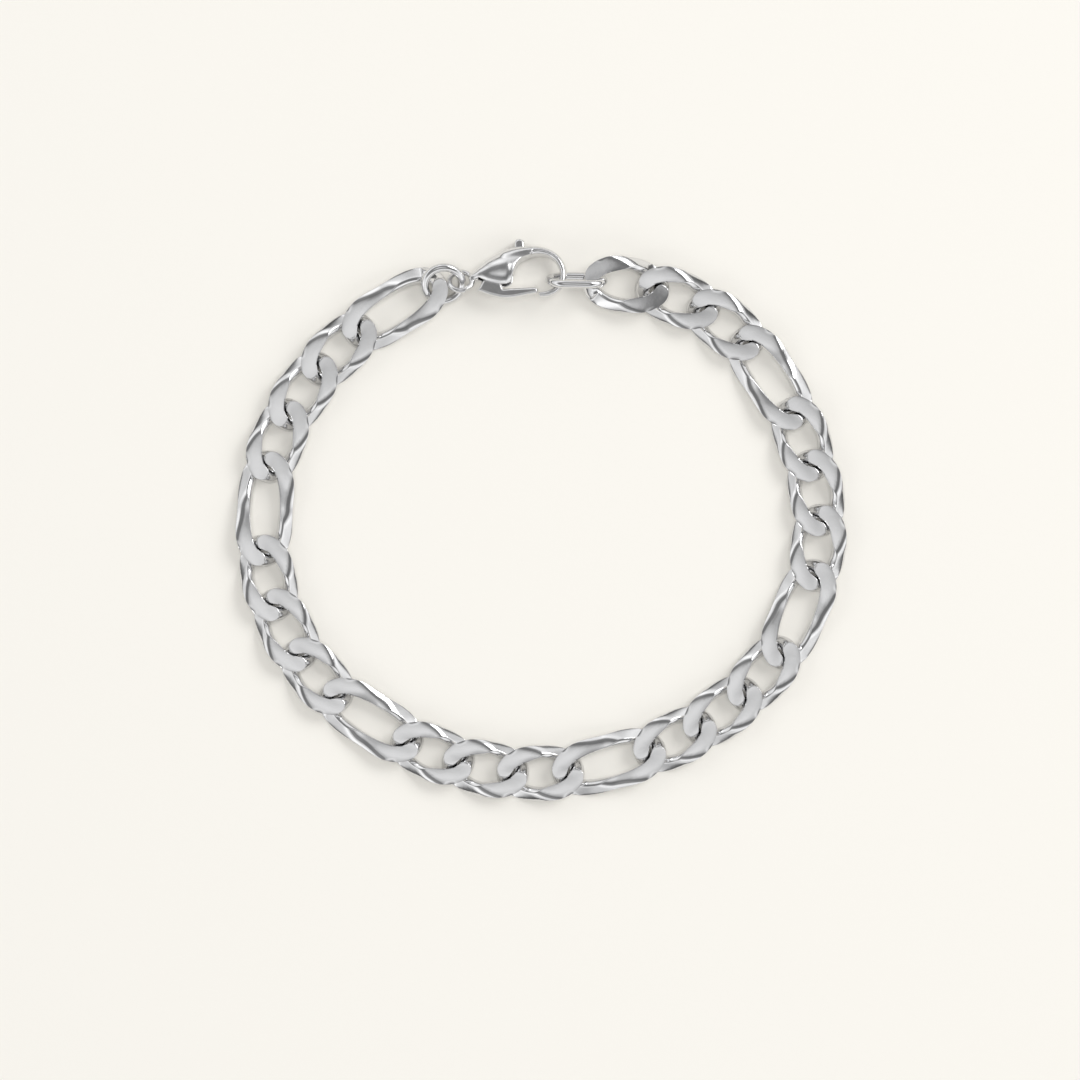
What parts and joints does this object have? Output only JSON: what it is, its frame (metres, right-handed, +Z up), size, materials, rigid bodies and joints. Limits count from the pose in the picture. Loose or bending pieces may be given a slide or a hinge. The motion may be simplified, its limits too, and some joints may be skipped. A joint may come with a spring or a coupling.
{
  "type": "link bracelet",
  "caption": "Flat-filed curb-link bracelet in polished metal, lying closed in a loop, with a hinged hook clasp and two jump rings.",
  "frame": {"origin": "on the surface that the bracelet lies on, under the middle of its bounding box", "axes": "+X along the longer way across the loop, +Y from the wrist's side towards the clasp and its thumb tab, +Z up from the surface"},
  "size_m": [0.0728, 0.0674, 0.0047],
  "materials": {
    "link_steel": "polished stainless steel, filed flats",
    "ring_steel": "polished stainless steel wire",
    "clasp_steel": "polished cast stainless steel",
    "lever_steel": "tumbled stainless steel"
  },
  "bodies": {
    "bracelet": {"link_01": "link_steel", "link_02": "link_steel", "link_03": "link_steel", "link_04": "link_steel", "link_05": "link_steel", "link_06": "link_steel", "link_07": "link_steel", "link_08": "link_steel", "link_09": "link_steel", "link_10": "link_steel", "link_11": "link_steel", "link_12": "link_steel", "link_13": "link_steel", "link_14": "link_steel", "link_15": "link_steel", "link_16": "link_steel", "link_17": "link_steel", "link_18": "link_steel", "link_19": "link_steel", "link_20": "link_steel", "link_21": "link_steel", "link_22": "link_steel", "link_23": "link_steel", "link_24": "link_steel", "round_ring": "ring_steel", "oval_ring": "ring_steel", "clasp_body": "clasp_steel", "clasp_pin": "lever_steel"},
    "lever": {"clasp_lever": "lever_steel"}
  },
  "joints": [
    {"name": "lever_swing", "type": "hinge", "parent": "bracelet", "child": "lever", "pos_m": [-0.0059, 0.02892, 0.00182], "axis": [-0.0031, 0.2419, 0.9703], "range_deg": [0, 20], "stiffness_Nm_per_rad": 0.004, "springref_deg": -11.46}
  ]
}
